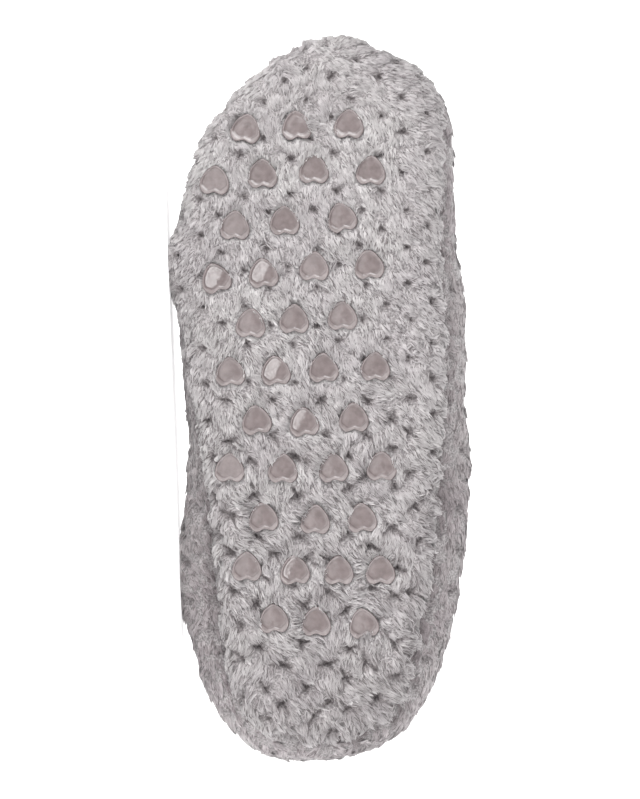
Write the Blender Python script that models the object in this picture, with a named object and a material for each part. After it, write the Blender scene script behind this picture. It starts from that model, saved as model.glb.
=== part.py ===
"""Plush ballerina slipper for the right foot, lying on its outer side.

Every piece is modelled upright, in the slipper's own frame: along runs from the heel (0) to the
toe, across runs towards the inner side of the foot, and up is measured from the tread. One empty
then lays the whole slipper on its outer side, with the toe towards -X and the tread facing -Y.
"""

import math

import bmesh
import bpy
import numpy as np
from mathutils import Matrix, Vector

MM = 0.001

# Driving sizes in millimetres
LENGTH = 255.6
BALL_WIDTH = 104.0
HEEL_HEIGHT = 58.0
SIDE_HEIGHT = 46.0
INSTEP_HEIGHT = 56.0
GAP = 0.3

# The floor that the slipper lies on presses the plush flat this far out from the axis.
FLOOR_REACH = 51.6

# Sole: a padded slab with a rolled lower edge, a toe spring and a slight rise at the heel
SOLE_THICK = 10.0
ROLL_IN = 10.0
ROLL_UP = 7.0
TOE_SPRING = 9.0
SPRING_START = 0.72 * LENGTH
HEEL_RISE = 1.5
RISE_END = 0.11 * LENGTH

# Upper: one wall of plush and lining, with a rolled elastic hem round the collar
WALL = 4.5
HEM_SWELL = 1.0
BELLY_HEEL = 26.0
BELLY_TOE = 18.5
COLLAR_BACK = 0.055 * LENGTH
THROAT = 0.63 * LENGTH
COLLAR_HALF_WIDTH = 0.28 * BALL_WIDTH
COLLAR_AXIS_BACK = -2.0
COLLAR_AXIS_THROAT = 4.0
FAN = 1.6
ARCH_END_BACK = math.radians(76)
ARCH_END_THROAT = math.radians(88)

INSOLE_THICK = 3.0

# Silicone grip hearts, with their points towards the toe
HEART_WIDTH = 10.6
HEART_LENGTH = 10.4
HEART_THICK = 1.2
HEART_ROUND = 0.45

# How finely the lofted pieces are divided
RING = 64
LOWER_STEPS = 4
ARCH_STEPS = 9
HEM_STEPS = 3
HEM_ROWS = 2
SPLINE_STEPS = 12

# The sole's edge, a row for each section round the slipper from the heel along the outer side to
# the toe and back along the inner side. along is a percentage of LENGTH, across a percentage of
# BALL_WIDTH, and stand_out is how many millimetres the upper swells past the sole's edge there.
OUTER_SIDE = (
    # along, across, stand_out
    (3.3, -3.8, 7.3),
    (5.1, -21.6, 8.5),
    (10.2, -31.9, 8.8),
    (17.6, -35.2, 11.5),
    (26.6, -36.5, 15.9),
    (36.0, -38.1, 9.0),
    (46.2, -41.4, 4.0),
    (56.0, -44.6, 1.8),
    (63.0, -46.6, 0.9),
    (69.3, -50.9, 1.0),
    (74.6, -46.0, 0.7),
    (80.0, -42.0, 0.6),
    (86.5, -35.6, 0.8),
    (93.3, -22.1, 0.8),
    (97.7, -6.7, 0.8),
)
INNER_SIDE = (
    # along, across, stand_out
    (99.5, 8.2, 0.8),
    (97.9, 22.9, 0.9),
    (94.5, 36.5, 1.6),
    (89.0, 43.5, 3.6),
    (81.4, 43.3, 5.2),
    (71.2, 42.2, 6.0),
    (60.6, 42.9, 8.0),
    (48.9, 41.6, 8.2),
    (38.3, 38.8, 11.4),
    (28.2, 36.0, 11.5),
    (18.8, 31.3, 11.5),
    (11.0, 26.0, 9.5),
    (5.7, 16.3, 8.0),
)

# The printed hearts, a row for each line of them from the toe to the heel. The first heart of a
# line is at along, across in millimetres, and the next ones follow at the two steps.
HEART_LINES = (
    # count, along, across, along_step, across_step
    (3, 224.1, -22.1, -0.2, 17.9),
    (4, 206.1, -34.6, 0.7, 18.1),
    (3, 189.6, -28.3, 0.8, 18.7),
    (4, 171.6, -35.4, 1.0, 17.9),
    (3, 155.8, -23.8, 0.6, 16.5),
    (4, 138.9, -31.7, 0.0, 16.9),
    (3, 121.3, -22.8, -0.3, 17.2),
    (4, 104.7, -31.5, -0.4, 17.5),
    (3, 87.1, -21.0, -0.6, 17.3),
    (4, 70.0, -26.5, -0.7, 15.5),
    (3, 51.7, -19.2, -1.2, 15.8),
)

# How each heart lies out of its line, from the first by the toe to the last by the heel: millimetres
# inwards and to the toe, and the degrees by which its point leans inwards
HEART_NUDGES = (
    # across, along, turn
    (-0.6, -0.7, 12),
    (-0.8, 0.0, -4),
    (-0.4, 0.1, 3),
    (0.4, -0.4, 5),
    (-1.0, 0.7, 0),
    (-1.0, 1.0, 3),
    (0.7, -0.8, 4),
    (0.6, 0.2, 3),
    (-0.7, 0.5, 0),
    (0.5, 0.2, -12),
    (0.3, 0.0, -16),
    (-0.9, 0.2, -5),
    (-0.9, 1.0, 3),
    (0.4, 0.0, -3),
    (0.5, -0.4, 4),
    (-0.8, 0.0, 2),
    (-0.4, 0.0, 0),
    (0.6, -0.1, -3),
    (-0.4, -0.3, -4),
    (-0.5, 0.2, -3),
    (0.7, 0.0, 2),
    (0.3, 0.3, -8),
    (-0.3, -0.6, -6),
    (0.0, 0.6, 0),
    (-0.8, 0.5, 2),
    (0.3, 0.0, 3),
    (0.4, 0.1, -3),
    (-0.3, 0.5, 0),
    (-0.2, 0.4, -3),
    (0.7, -0.4, 4),
    (-0.3, 0.2, -3),
    (-1.0, 0.4, 2),
    (0.2, -0.6, -3),
    (0.1, -0.5, 2),
    (-0.8, -0.2, 3),
    (0.5, 0.3, -2),
    (-0.5, -0.1, 2),
    (0.2, 0.0, -10),
)

# Half of a heart's outline as shares of its width and length: the place, and the handle after it
HEART_HALF = (
    # across, along, handle_across, handle_along
    (0.00, 0.50, 0.12, 0.00),
    (0.36, 0.215, 0.088, -0.13),
    (0.50, -0.20, 0.00, -0.12),
    (0.26, -0.50, -0.12, 0.00),
    (0.00, -0.42, -0.07, 0.00),
)


def clear_scene():
    for obj in list(bpy.data.objects):
        bpy.data.objects.remove(obj, do_unlink=True)


def make_material(name, colour, roughness):
    material = bpy.data.materials.new(name)
    material.use_nodes = True
    shader = material.node_tree.nodes["Principled BSDF"]
    shader.inputs["Base Color"].default_value = (*colour, 1.0)
    shader.inputs["Roughness"].default_value = roughness
    shader.inputs["Metallic"].default_value = 0.0
    return material


def smoothstep(value):
    value = np.clip(value, 0.0, 1.0)
    return value * value * (3.0 - 2.0 * value)


def closed_spline(rows, steps):
    """Points of a closed Catmull-Rom curve through the rows, with the given steps between rows."""
    before, after = np.roll(rows, 1, axis=0), np.roll(rows, -1, axis=0)
    beyond = np.roll(rows, -2, axis=0)
    pieces = []
    for t in np.arange(steps) / steps:
        pieces.append(
            0.5
            * (
                2.0 * rows
                + (after - before) * t
                + (2.0 * before - 5.0 * rows + 4.0 * after - beyond) * t**2
                + (3.0 * rows - before - 3.0 * after + beyond) * t**3
            )
        )
    return np.stack(pieces, axis=1).reshape(-1, rows.shape[1])


def evenly_spaced(curve, count):
    """The given number of points at equal distances along an open curve, without its last point."""
    lengths = np.linalg.norm(np.diff(curve[:, :2], axis=0), axis=1)
    travel = np.concatenate([[0.0], np.cumsum(lengths)])
    at = np.arange(count) / count * travel[-1]
    return np.stack([np.interp(at, travel, column) for column in curve.T], axis=1)


def sole_ring():
    """Sole edge, outward direction and stand-out at each section, from the heel by the outer side."""
    rows = np.array(OUTER_SIDE + INNER_SIDE)
    rows[:, 0] *= LENGTH / 100.0
    rows[:, 1] *= BALL_WIDTH / 100.0
    curve = closed_spline(rows, SPLINE_STEPS)
    curve = np.concatenate([curve, curve[:1]])
    toe = len(OUTER_SIDE) * SPLINE_STEPS
    outer = evenly_spaced(curve[: toe + 1], RING // 2)
    inner = evenly_spaced(curve[toe:], RING // 2)
    ring = np.concatenate([outer, inner])
    tangent = np.roll(ring[:, :2], -1, axis=0) - np.roll(ring[:, :2], 1, axis=0)
    outward = np.stack([tangent[:, 1], -tangent[:, 0]], axis=1)
    outward /= np.linalg.norm(outward, axis=1)[:, None]
    return ring[:, :2], outward, ring[:, 2]


def lift(along):
    """How far the tread rises off its plane at the toe and at the back of the heel."""
    toe = np.clip((along - SPRING_START) / (LENGTH - SPRING_START), 0.0, None)
    heel = np.clip((RISE_END - along) / RISE_END, 0.0, None)
    return TOE_SPRING * toe**2 + HEEL_RISE * heel**2


def roll(inset):
    """How far the sole's lower edge has rolled up, at a distance in from its outline."""
    reach = np.clip(1.0 - inset / ROLL_IN, 0.0, 1.0)
    return ROLL_UP * (1.0 - np.sqrt(1.0 - reach**2))


def pressed(points, plane=-FLOOR_REACH):
    """The points, with what would pass the floor pressed flat on it."""
    points[..., 1] = np.maximum(points[..., 1], plane)
    return points


def at_height(plan, height):
    return np.concatenate([plan, np.broadcast_to(height, len(plan))[:, None]], axis=1)


def new_part(name, data, material, collection, parent):
    obj = bpy.data.objects.new(name, data)
    if not data.materials:
        data.materials.append(material)
    collection.objects.link(obj)
    obj.parent = parent
    return obj


def mesh_from(bm, name):
    bmesh.ops.recalc_face_normals(bm, faces=bm.faces)
    mesh = bpy.data.meshes.new(name)
    bm.to_mesh(mesh)
    bm.free()
    mesh.shade_smooth()
    mesh.set_sharp_from_angle(angle=math.radians(50))
    return mesh


def add_loops(bm, loops):
    """A vertex loop for each array of points, with quads between one loop and the next."""
    rings = [[bm.verts.new(Vector(point) * MM) for point in loop] for loop in loops]
    for lower, higher in zip(rings, rings[1:]):
        for i, vertex in enumerate(lower):
            j = (i + 1) % len(lower)
            bm.faces.new((vertex, lower[j], higher[j], higher[i]))
    return rings


def close_across(bm, ring):
    """Fills a ring with strips from its outer side to its inner side."""
    half = len(ring) // 2
    bm.faces.new((ring[0], ring[1], ring[-1]))
    for i in range(1, half - 1):
        bm.faces.new((ring[i], ring[i + 1], ring[-i - 1], ring[-i]))
    bm.faces.new((ring[half - 1], ring[half], ring[half + 1]))


def slab_mesh(name, plan, outward, profile, ground):
    """A closed slab over a plan: profile lists its edge from the underside to the top as pairs of
    inset and height, and ground gives the height that each point's slab starts from."""
    bm = bmesh.new()
    loops = []
    for inset, height in profile:
        spot = plan - outward * inset
        loops.append(pressed(at_height(spot, ground(spot[:, 0]) + height)))
    rings = add_loops(bm, loops)
    close_across(bm, rings[0])
    close_across(bm, rings[-1])
    return mesh_from(bm, name)


def sole_profile():
    insets = ROLL_IN * (1.0 - np.cos(np.radians([90, 62, 42, 24, 8])))
    under = [(1.7 * ROLL_IN, 0.0)] + [(inset, roll(inset)) for inset in insets]
    side = [(0.0, ROLL_UP + 0.2), (0.5, SOLE_THICK), (2.6 * ROLL_IN, SOLE_THICK)]
    return under + side


def collar_ring(plan, inner_side):
    """The topline's point for each section. The sections fan out from the throat over the toe."""
    toe_share = (plan[:, 0] - plan[:, 0].min()) / np.ptp(plan[:, 0])
    share = 1.0 - (1.0 - toe_share) ** FAN
    turn = np.arccos(1.0 - 2.0 * share)
    side = np.where(inner_side, 1.0, -1.0)
    axis = COLLAR_AXIS_BACK + (COLLAR_AXIS_THROAT - COLLAR_AXIS_BACK) * share
    along = COLLAR_BACK + (THROAT - COLLAR_BACK) * share
    across = axis + side * COLLAR_HALF_WIDTH * np.sin(turn)
    height = SIDE_HEIGHT + (HEEL_HEIGHT - SIDE_HEIGHT) * (1.0 - share) ** 2
    height += (INSTEP_HEIGHT - SIDE_HEIGHT) * share**2
    arch_end = ARCH_END_BACK + (ARCH_END_THROAT - ARCH_END_BACK) * share
    return np.stack([along, across], axis=1), height, arch_end


def upper_outside(plan, outward, stand_out):
    """The upper's outer surface, an array of section by step from the seam to the collar."""
    inner_side = np.arange(RING) > RING // 2
    collar, collar_height, arch_end = collar_ring(plan, inner_side)
    belly_share = np.clip(plan[:, 0] / LENGTH, 0.0, 1.0)
    belly = BELLY_HEEL + (BELLY_TOE - BELLY_HEEL) * belly_share
    seam = lift(plan[:, 0]) + SOLE_THICK + GAP
    belly = np.maximum(belly, seam + 6.0)
    steps = []
    for t in np.arange(LOWER_STEPS) / LOWER_STEPS:
        swell = stand_out * math.sin(t * math.pi / 2)
        steps.append(at_height(plan + outward * swell[:, None], seam + (belly - seam) * t))
    widest = plan + outward * stand_out[:, None]
    for t in np.linspace(0.0, 1.0, ARCH_STEPS):
        inward = (1.0 - np.cos(arch_end * t)) / (1.0 - np.cos(arch_end))
        rise = np.sin(arch_end * t) / np.sin(arch_end)
        spot = widest + (collar - widest) * inward[:, None]
        steps.append(at_height(spot, belly + (collar_height - belly) * rise))
    return pressed(np.stack(steps, axis=1))


def outward_normals(surface):
    round_way = np.roll(surface, -1, axis=0) - np.roll(surface, 1, axis=0)
    up_way = np.gradient(surface, axis=1)
    normals = np.cross(round_way, up_way)
    return normals / np.linalg.norm(normals, axis=2)[..., None]


def upper_mesh(plan, outward, stand_out):
    outside = upper_outside(plan, outward, stand_out)
    normals = outward_normals(outside)
    inside = outside - normals * WALL
    level = normals[:, 0, :2]
    level = level / np.sum(level**2, axis=1)[:, None]
    inside[:, 0, :2] = outside[:, 0, :2] - level * WALL
    inside[:, 0, 2] = outside[:, 0, 2]
    inside = pressed(inside, WALL - FLOOR_REACH)
    swell = HEM_SWELL * smoothstep(np.arange(-HEM_ROWS, 1) / HEM_ROWS + 1.0)
    swell = swell[None, :, None] * normals[:, -HEM_ROWS - 1 :]
    outside[:, -HEM_ROWS - 1 :] += swell
    inside[:, -HEM_ROWS - 1 :] -= swell
    edge = outside[:, -1] - outside[:, -2]
    edge /= np.linalg.norm(edge, axis=1)[:, None]
    middle, half = (outside[:, -1] + inside[:, -1]) / 2, (outside[:, -1] - inside[:, -1]) / 2
    radius = np.linalg.norm(half, axis=1)[:, None]
    hem = []
    for turn in np.linspace(0.0, math.pi, HEM_STEPS + 2)[1:-1]:
        hem.append(middle + half * math.cos(turn) + edge * radius * math.sin(turn))
    loops = [*outside.swapaxes(0, 1), *hem, *inside.swapaxes(0, 1)[::-1]]
    bm = bmesh.new()
    rings = add_loops(bm, loops)
    for i, vertex in enumerate(rings[-1]):
        j = (i + 1) % RING
        bm.faces.new((vertex, rings[-1][j], rings[0][j], rings[0][i]))
    return mesh_from(bm, "upper"), inside[:, 0, :2]


def heart_curve():
    curve = bpy.data.curves.new("grip_heart", "CURVE")
    curve.dimensions = "2D"
    curve.fill_mode = "BOTH"
    curve.extrude = (HEART_THICK / 2 - HEART_ROUND) * MM
    curve.bevel_depth = HEART_ROUND * MM
    curve.bevel_resolution = 0
    curve.offset = -HEART_ROUND * MM
    curve.resolution_u = 2
    size = np.array([HEART_WIDTH, HEART_LENGTH]) * MM
    right = [(np.array(row[:2]) * size, np.array(row[2:]) * size) for row in HEART_HALF]
    left = [(spot * (-1, 1), -way * (-1, 1)) for spot, way in right[-2:0:-1]]
    spline = curve.splines.new("BEZIER")
    spline.bezier_points.add(len(right) + len(left) - 1)
    spline.use_cyclic_u = True
    for point, (spot, way) in zip(spline.bezier_points, right + left):
        point.co = (*spot, 0.0)
        point.handle_left = (*(spot - way), 0.0)
        point.handle_right = (*(spot + way), 0.0)
    return curve


def tread_frame(plan, along, across, turn):
    """A heart's place under the tread: its own Y towards the toe and its own Z out of the tread."""

    def under(a, b):
        inset = np.min(np.linalg.norm(plan - (a, b), axis=1))
        return Vector((a, b, float(lift(a) + roll(inset))))

    spot = under(along, across)
    toeward = (under(along + 1.0, across) - under(along - 1.0, across)).normalized()
    inward = (under(along, across + 1.0) - under(along, across - 1.0)).normalized()
    out = inward.cross(toeward).normalized()
    inward = toeward.cross(out)
    frame = Matrix((inward, toeward, out)).transposed().to_4x4()
    frame = frame @ Matrix.Rotation(-math.radians(turn), 4, "Z")
    frame.translation = (spot + out * (GAP + HEART_THICK / 2)) * MM
    return frame


def add_hearts(plan, material, collection, parent):
    curve = heart_curve()
    number = 0
    for count, along, across, along_step, across_step in HEART_LINES:
        for i in range(count):
            inwards, toewards, turn = HEART_NUDGES[number]
            number += 1
            spot = (along + i * along_step + toewards, across + i * across_step + inwards)
            heart = new_part(f"grip_heart_{number:02d}", curve, material, collection, parent)
            heart.matrix_basis = tread_frame(plan, *spot, turn)


def lay_on_side(root, collection):
    """Turns the slipper on its outer side, with the middle of its footprint at the origin."""
    turn = Matrix(((-1, 0, 0), (0, 0, 1), (0, 1, 0))).to_4x4()
    root.matrix_world = turn
    bpy.context.view_layer.update()
    parts = [obj for obj in collection.objects if obj.type != "EMPTY"]
    corners = np.array([obj.matrix_world @ Vector(c) for obj in parts for c in obj.bound_box])
    low, high = corners.min(axis=0), corners.max(axis=0)
    root.matrix_world = Matrix.Translation((-(low[0] + high[0]) / 2, -(low[1] + high[1]) / 2, -low[2])) @ turn


def main():
    clear_scene()
    collection = bpy.data.collections.new("ballerina_slipper")
    bpy.context.scene.collection.children.link(collection)
    root = bpy.data.objects.new("slipper", None)
    collection.objects.link(root)

    plush = make_material("plush", (0.56, 0.53, 0.53), 0.95)
    lining = make_material("lining", (0.60, 0.57, 0.57), 0.9)
    silicone = make_material("silicone", (0.36, 0.31, 0.30), 0.3)

    plan, outward, stand_out = sole_ring()
    sole = slab_mesh("sole", plan, outward, sole_profile(), lift)
    new_part("sole", sole, plush, collection, root)
    upper, inner_seam = upper_mesh(plan, outward, stand_out)
    new_part("upper", upper, plush, collection, root)
    low, high = SOLE_THICK + GAP, SOLE_THICK + GAP + INSOLE_THICK
    edge = [(2.5 * GAP + 18.0, low), (2.5 * GAP, low), (GAP, high - 1.0), (GAP + 1.0, high), (19.0, high)]
    insole = slab_mesh("insole", inner_seam, outward, edge, lift)
    new_part("insole", insole, lining, collection, root)
    add_hearts(plan, silicone, collection, root)
    lay_on_side(root, collection)


main()
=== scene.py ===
"""Looks of the plush ballerina slipper: its pile, lining, insole and silicone grips, and the studio.

Shapes are worked out in the slipper's own frame, in millimetres: along from the heel to the toe,
across towards the inner side of the foot, and up from the tread. to_row turns them into the row's
frame, where the slipper lies on its outer side.
"""

import math

import bpy
import numpy as np
from mathutils import Matrix, Vector


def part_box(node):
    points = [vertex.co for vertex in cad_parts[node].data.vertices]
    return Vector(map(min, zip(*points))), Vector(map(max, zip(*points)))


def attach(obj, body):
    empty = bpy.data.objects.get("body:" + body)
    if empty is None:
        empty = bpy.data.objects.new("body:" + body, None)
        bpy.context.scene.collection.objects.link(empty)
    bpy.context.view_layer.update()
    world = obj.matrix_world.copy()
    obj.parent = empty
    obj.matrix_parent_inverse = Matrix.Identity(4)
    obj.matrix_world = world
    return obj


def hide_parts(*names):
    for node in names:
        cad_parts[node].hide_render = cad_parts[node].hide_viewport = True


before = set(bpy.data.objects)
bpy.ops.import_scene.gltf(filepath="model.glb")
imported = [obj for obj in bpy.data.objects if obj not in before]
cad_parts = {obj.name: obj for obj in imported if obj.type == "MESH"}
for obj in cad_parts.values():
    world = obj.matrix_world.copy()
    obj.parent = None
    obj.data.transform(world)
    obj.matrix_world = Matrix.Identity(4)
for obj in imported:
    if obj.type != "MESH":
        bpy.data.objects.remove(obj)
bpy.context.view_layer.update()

MM = 0.001
BODY = "root"

# Sizes of the slipper, the same as those of its solids
LENGTH = 255.6
BALL_WIDTH = 104.0
HEEL_HEIGHT = 58.0
SIDE_HEIGHT = 46.0
INSTEP_HEIGHT = 56.0
GAP = 0.3
FLOOR_REACH = 51.6
SOLE_THICK = 10.0
ROLL_IN = 10.0
ROLL_UP = 7.0
TOE_SPRING = 9.0
SPRING_START = 0.72 * LENGTH
HEEL_RISE = 1.5
RISE_END = 0.11 * LENGTH
WALL = 4.5
HEM_SWELL = 1.0
HEM_DEPTH = 9.5
BELLY_HEEL = 26.0
BELLY_TOE = 18.5
LEAST_BELLY = 6.0
COLLAR_BACK = 0.055 * LENGTH
THROAT = 0.63 * LENGTH
COLLAR_HALF_WIDTH = 0.28 * BALL_WIDTH
COLLAR_AXIS_BACK = -2.0
COLLAR_AXIS_THROAT = 4.0
FAN = 1.6
ARCH_END_BACK = math.radians(76)
ARCH_END_THROAT = math.radians(88)
INSOLE_THICK = 3.0
HEART_WIDTH = 10.6
HEART_LENGTH = 10.4
HEART_THICK = 1.2

# The sole's edge round the slipper: percentages of LENGTH and BALL_WIDTH, and millimetres
OUTER_SIDE = (
    # along, across, stand_out
    (3.3, -3.8, 7.3),
    (5.1, -21.6, 8.5),
    (10.2, -31.9, 8.8),
    (17.6, -35.2, 11.5),
    (26.6, -36.5, 15.9),
    (36.0, -38.1, 9.0),
    (46.2, -41.4, 4.0),
    (56.0, -44.6, 1.8),
    (63.0, -46.6, 0.9),
    (69.3, -50.9, 1.0),
    (74.6, -46.0, 0.7),
    (80.0, -42.0, 0.6),
    (86.5, -35.6, 0.8),
    (93.3, -22.1, 0.8),
    (97.7, -6.7, 0.8),
)
INNER_SIDE = (
    # along, across, stand_out
    (99.5, 8.2, 0.8),
    (97.9, 22.9, 0.9),
    (94.5, 36.5, 1.6),
    (89.0, 43.5, 3.6),
    (81.4, 43.3, 5.2),
    (71.2, 42.2, 6.0),
    (60.6, 42.9, 8.0),
    (48.9, 41.6, 8.2),
    (38.3, 38.8, 11.4),
    (28.2, 36.0, 11.5),
    (18.8, 31.3, 11.5),
    (11.0, 26.0, 9.5),
    (5.7, 16.3, 8.0),
)

# The printed hearts, a row for each line of them from the toe to the heel
HEART_LINES = (
    # count, along, across, along_step, across_step
    (3, 224.1, -22.1, -0.2, 17.9),
    (4, 206.1, -34.6, 0.7, 18.1),
    (3, 189.6, -28.3, 0.8, 18.7),
    (4, 171.6, -35.4, 1.0, 17.9),
    (3, 155.8, -23.8, 0.6, 16.5),
    (4, 138.9, -31.7, 0.0, 16.9),
    (3, 121.3, -22.8, -0.3, 17.2),
    (4, 104.7, -31.5, -0.4, 17.5),
    (3, 87.1, -21.0, -0.6, 17.3),
    (4, 70.0, -26.5, -0.7, 15.5),
    (3, 51.7, -19.2, -1.2, 15.8),
)
# How each heart lies out of its line, from the first by the toe to the last by the heel: millimetres
# inwards and to the toe, and the degrees by which its point leans inwards
HEART_NUDGES = (
    # across, along, turn
    (-0.6, -0.7, 12), (-0.8, 0.0, -4), (-0.4, 0.1, 3),
    (0.4, -0.4, 5), (-1.0, 0.7, 0), (-1.0, 1.0, 3), (0.7, -0.8, 4),
    (0.6, 0.2, 3), (-0.7, 0.5, 0), (0.5, 0.2, -12),
    (0.3, 0.0, -16), (-0.9, 0.2, -5), (-0.9, 1.0, 3), (0.4, 0.0, -3),
    (0.5, -0.4, 4), (-0.8, 0.0, 2), (-0.4, 0.0, 0),
    (0.6, -0.1, -3), (-0.4, -0.3, -4), (-0.5, 0.2, -3), (0.7, 0.0, 2),
    (0.3, 0.3, -8), (-0.3, -0.6, -6), (0.0, 0.6, 0),
    (-0.8, 0.5, 2), (0.3, 0.0, 3), (0.4, 0.1, -3), (-0.3, 0.5, 0),
    (-0.2, 0.4, -3), (0.7, -0.4, 4), (-0.3, 0.2, -3),
    (-1.0, 0.4, 2), (0.2, -0.6, -3), (0.1, -0.5, 2), (-0.8, -0.2, 3),
    (0.5, 0.3, -2), (-0.5, -0.1, 2), (0.2, 0.0, -10),
)
HEART_HALF = (
    # across, along, handle_across, handle_along
    (0.00, 0.50, 0.12, 0.00),
    (0.36, 0.215, 0.088, -0.13),
    (0.50, -0.20, 0.00, -0.12),
    (0.26, -0.50, -0.12, 0.00),
    (0.00, -0.42, -0.07, 0.00),
)

# How finely the plush is divided
ROUND = 560
SPLINE_STEPS = 24
FLAT_STEPS = 36
ROLL_STEPS = 13
SIDE_STEPS = 4
LOWER_STEPS = 13
ARCH_STEPS = 52
HEM_STEPS = 6
HEM_ROWS = 8
LINING_STEPS = 22
INSOLE_STEPS = 14
BATCH = 20000

# Stretches of the slipper where its plush changes: where the change starts along it, and its run
PUFF_ZONE = (165.0, 90.0)
LOOSE_ZONE = (150.0, 80.0)
PROUD_TOE_ZONE = (190.0, 40.0)
PROUD_HEEL_ZONE = (40.0, 30.0)
NAP_ZONE = (130.0, 70.0)
PALE_ZONE = (-10.0, 110.0)
TOE_ZONE = (165.0, 40.0)
FAINT_ZONE = (175.0, 35.0)
HEEL_ZONE = (48.0, 30.0)
# Bands of the sole's edge and of the upper's wall: the height where a change starts, and its run
EDGE_BAND = (4.5, 4.5)
EDGE_SEAM_BAND = (7.0, 2.0)
EDGE_NAP_BAND = (5.0, 4.0)
EDGE_CUT_BAND = (3.0, 4.0)
WALL_BAND = (32.0, 18.0)
FOOT_BAND = (6.0, 6.0)
HEEL_WALL_BAND = (3.0, 4.0)
HEEL_FOOT_BAND = (4.0, 3.0)
# Lines along the middle, from the heel to the toe, from which loops and nap spread to the edge
SOLE_SPINE = (46.0, 208.0)
SPINE_BEND = ((40.0, 215.0), (-2.0, 3.0))
NAP_SPINE = (50.0, 205.0)
INSOLE_SPINE = (48.0, 206.0)
FIRST_LOOP = 0.004
# Top of the sole's edge, hidden top of the sole, and top of the insole
SIDE_SINK = 0.4
SIDE_LEAN = 0.1
TOP_SHARES = (0.94, 0.7, 0.4)
TOP_SINK = 0.2
INSOLE_RIM = 4.0
INSOLE_REACH = 0.96
INSOLE_DISH = 0.5

# Dimples of the plush: a diamond lattice on the sole, loose spots at the same distance on the upper
HALF_STEP_ALONG = 6.58
HALF_STEP_ACROSS = 8.1
LATTICE_START = np.array((9.5, -0.3))
LATTICE_ALONG = (-6, 48)
LATTICE_ACROSS = (-10, 11)
LATTICE_JITTER = 0.55
HEEL_LOOSENESS = 1.6
SPOT_REACH = 2.0
UPPER_DIMPLE_SPACING = 10.5
SPACING_SHARES = (1.0, 0.92, 0.84)
SPOTS_TRIED = 9000
# dark: how strongly painted shade darkens the plush in its dimples, its creases and along its partings
SOLE_DIMPLE = {"depth": 1.9, "dark": 0.75}
UPPER_DIMPLE = {"depth": 0.8, "dark": 0.3}
HOLE_RADIUS = 0.8
AHEAD = np.array((1.0, 0.1, 0.2))
PARTING_SWING = 0.4
PARTING_SHARES = (0.25, 1.0)
BARE_PARTING = 0.6
TUFT_HEIGHT = 1.6
TUFT_ROUNDNESS = 0.6
TUFT_SINK = 0.6
TUFT_RADIUS = 4.5

# Values that grow with the fullness of the plush, or with another share: the start and the growth
FULLNESS = (0.2, 0.55)
DENT = (0.75, 0.5)
DIMPLE_RADIUS = (1.7, 0.7)
PARTING_LENGTH = (2.6, 4.4)
PARTING_WIDTH = (0.3, 0.25)
# HOLE_DARK, CREASE_DARK and PATCHINESS: painted shade in the dimples and, in patches, in the creases
HOLE_DARK = (0.95, -0.7)
CREASE_DARK = (0.05, 0.55)
PATCHINESS = (0.5, 0.6)
BARE_RADIUS = (0.45, 0.25)
SWIRL = (0.15, 0.6)
NAP_TURN = (150.0, 18.0)
PUSH_WIDTH = (2.4, 0.6)
CLUMP_REACH = (0.8, 0.25)
# LOW_LOCK_DARK, ROOT_TONE and STREAK_TONE: painted shade on the low locks, at the roots and in the thin
# streak locks
LOW_LOCK_DARK = (0.12, 0.36)
ROOT_TONE = (0.58, -0.1)
STREAK_TONE = (0.36, 0.2)
SOLE_TONE = (0.91, 0.14)
# EDGE_DARK: painted shade on the sole's rolled edge by the seam, less at the toe
EDGE_DARK = (0.4, -0.22)
EDGE_CUT = (1.4, 0.7)

# Waves of the plush and the insole, each a sum of sines: size, wavelength and seed
SWELLS = ((0.35, 17.0, 5), (0.16, 6.0, 6))
UPPER_SWIRLS = ((0.5, 24.0, 31), (0.3, 9.0, 32))
INSOLE_RIPPLES = ((0.12, 7.0, 51),)
SOLE_SWIRLS = ((1.0, 26.0, 21),)
FINE_SWIRLS = ((0.2, 9.0, 22),)
PARTING_WOBBLES = ((0.28, 3.4, 43),)
CREASE_PATCHES = ((1.0, 15.0, 41),)
RAGGED_EDGES = ((1.0, 2.6, 42),)
SINES = 10

# Seeds of the other random draws
LATTICE_SEED = 11
PARTING_SEED = 13
UPPER_DIMPLE_SEED = 77
SOLE_PILE_SEED = 101
UPPER_PILE_SEED = 202
HEART_SEED = 303

# The pile stands on a base this far inside the solid, but proud of it at the toe and the heel.
BASE_INSET = 0.35
TOE_PROUD = 1.1
HEEL_PROUD = 0.8
# The toe end of the upper is taken this much nearer the heel, so that its base is hardly proud.
SHIFT_START = 100.0
TOE_SHIFT = 60.0
# The base is coloured darker than the pile's tips: painted shade of the deep pile between the locks.
BASE_TONE = 0.55
HIDDEN_TONE = 0.2

# Faces of a lock with the corners L, R, M and T: the back, the two sides of its ridge and the underside,
# with painted shade that darkens one side of the ridge and the underside
LOCK_FACES = (
    # corners, tone of painted shade, places in the lock's cell of the bake map
    ((0, 1, 2), 0.95, ((0.05, 0.1), (0.55, 0.1), (0.3, 0.5))),
    ((0, 2, 3), 1.0, ((0.05, 0.1), (0.3, 0.5), (0.3, 0.9))),
    ((2, 1, 3), 0.84, ((0.3, 0.5), (0.55, 0.1), (0.3, 0.9))),
    ((0, 3, 1), 0.7, ((0.62, 0.1), (0.8, 0.9), (0.95, 0.1))),
)
SOLE_CLUMPS = 5300
UPPER_CLUMPS = 5000
LOCKS_IN_CLUMP = 18
CLUMP_RADIUS = 1.7
# Ranges of what is drawn for each clump and each lock
CLUMP_LENGTHS = (0.75, 1.25)
CLUMP_HEIGHTS = (0.6, 1.3)
LOCK_LENGTHS = (0.75, 1.1)
LOCK_HALF_WIDTHS = (0.15, 0.31)
TIP_HEIGHTS = (0.35, 0.85)
CLUMP_MOTTLE = 0.045
LOCK_MOTTLE = 0.03
LOCK_SWAY = 0.6
LOCK_SINK = 0.25
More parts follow.
